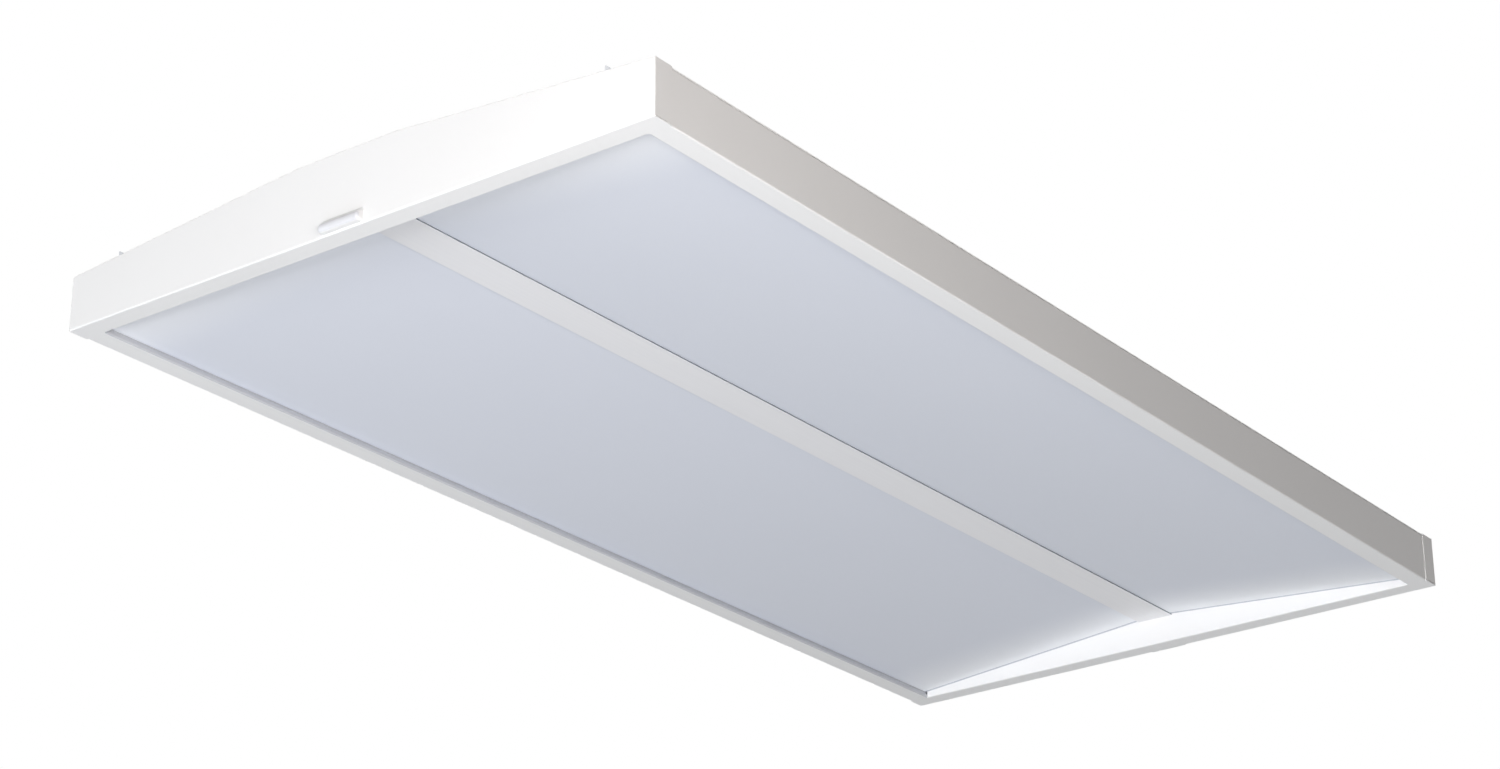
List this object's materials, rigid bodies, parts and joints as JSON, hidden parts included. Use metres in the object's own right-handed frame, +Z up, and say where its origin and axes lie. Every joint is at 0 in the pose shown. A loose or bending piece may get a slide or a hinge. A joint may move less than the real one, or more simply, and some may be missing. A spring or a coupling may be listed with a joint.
{
  "type": "recessed troffer light",
  "caption": "Shallow gabled recessed ceiling light with two sloping diffuser panels either side of a flat centre spine, a folded steel housing and a hinged wiring cover.",
  "frame": {"origin": "middle of the rim's underside, the face that rests on the ceiling grid", "axes": "+X along the length towards the far end, +Y across the width towards the left side, +Z up into the ceiling"},
  "size_m": [1.227, 0.603, 0.0754],
  "materials": {
    "white_steel": "semi-gloss powder coat",
    "galvanised_steel": "zinc plated",
    "white_aluminium": "powder-coated extrusion",
    "opal_acrylic": "satin",
    "foam": "closed-cell foam",
    "board_white": "solder mask",
    "connector_white": "moulded",
    "connector_orange": "moulded",
    "driver_case": "painted",
    "black_insulation": "extruded",
    "white_insulation": "extruded",
    "green_insulation": "extruded",
    "black_rubber": "moulded",
    "green_steel": "green chromate",
    "tinned_copper": "tin plated"
  },
  "bodies": {
    "light": {"board_bridges": "connector_white", "board_connectors": "connector_white", "cable_grommet_left": "black_rubber", "cable_grommet_right": "black_rubber", "centre_spine": "white_aluminium", "clip_pivots": "galvanised_steel", "diffuser_gasket_left": "foam", "diffuser_gasket_right": "foam", "diffuser_left": "opal_acrylic", "diffuser_right": "opal_acrylic", "disconnect_plug": "connector_orange", "disconnect_socket": "connector_orange", "end_plate_far": "white_steel", "end_plate_near": "white_steel", "ground_lead": "green_insulation", "ground_screw": "green_steel", "ground_terminal": "tinned_copper", "hanger_bracket_far_left": "galvanised_steel", "hanger_bracket_far_right": "galvanised_steel", "hanger_bracket_near_left": "galvanised_steel", "hanger_bracket_near_right": "galvanised_steel", "hinge_leaf_far": "galvanised_steel", "hinge_leaf_near": "galvanised_steel", "hinge_pin_far": "galvanised_steel", "hinge_pin_near": "galvanised_steel", "lamp_board_far_left_inner": "board_white", "lamp_board_far_left_outer": "board_white", "lamp_board_far_right_inner": "board_white", "lamp_board_far_right_outer": "board_white", "lamp_board_near_left_inner": "board_white", "lamp_board_near_left_outer": "board_white", "lamp_board_near_right_inner": "board_white", "lamp_board_near_right_outer": "board_white", "lamps": "board_white", "led_driver": "driver_case", "output_cable_left": "white_insulation", "output_cable_right": "white_insulation", "roof_panel": "white_steel", "row_jumper_left": "white_insulation", "row_jumper_right": "white_insulation", "side_rail_left": "white_steel", "side_rail_right": "white_steel", "spine_screws": "galvanised_steel", "supply_lead_line": "black_insulation", "supply_lead_neutral": "white_insulation", "wireway": "white_steel"},
    "access_cover": {"access_cover": "white_steel", "cover_screw": "galvanised_steel"},
    "grid_clip_near_left": {"grid_clip_near_left": "galvanised_steel"},
    "grid_clip_near_right": {"grid_clip_near_right": "galvanised_steel"},
    "grid_clip_far_left": {"grid_clip_far_left": "galvanised_steel"},
    "grid_clip_far_right": {"grid_clip_far_right": "galvanised_steel"}
  },
  "joints": [
    {"name": "access_cover_hinge", "type": "hinge", "parent": "light", "child": "access_cover", "pos_m": [0.13, -0.0365, 0.07065], "axis": [1, 0, 0], "range_deg": [0, 180]},
    {"name": "grid_clip_near_left_pivot", "type": "hinge", "parent": "light", "child": "grid_clip_near_left", "pos_m": [-0.5965, 0.2915, 0.04933], "axis": [0, -0.0824, -0.9966], "range_deg": [0, 90]},
    {"name": "grid_clip_near_right_pivot", "type": "hinge", "parent": "light", "child": "grid_clip_near_right", "pos_m": [-0.5965, -0.2915, 0.04933], "axis": [0, -0.0824, 0.9966], "range_deg": [0, 90]},
    {"name": "grid_clip_far_left_pivot", "type": "hinge", "parent": "light", "child": "grid_clip_far_left", "pos_m": [0.5965, 0.2915, 0.04933], "axis": [0, 0.0824, 0.9966], "range_deg": [0, 90]},
    {"name": "grid_clip_far_right_pivot", "type": "hinge", "parent": "light", "child": "grid_clip_far_right", "pos_m": [0.5965, -0.2915, 0.04933], "axis": [0, 0.0824, -0.9966], "range_deg": [0, 90]}
  ]
}
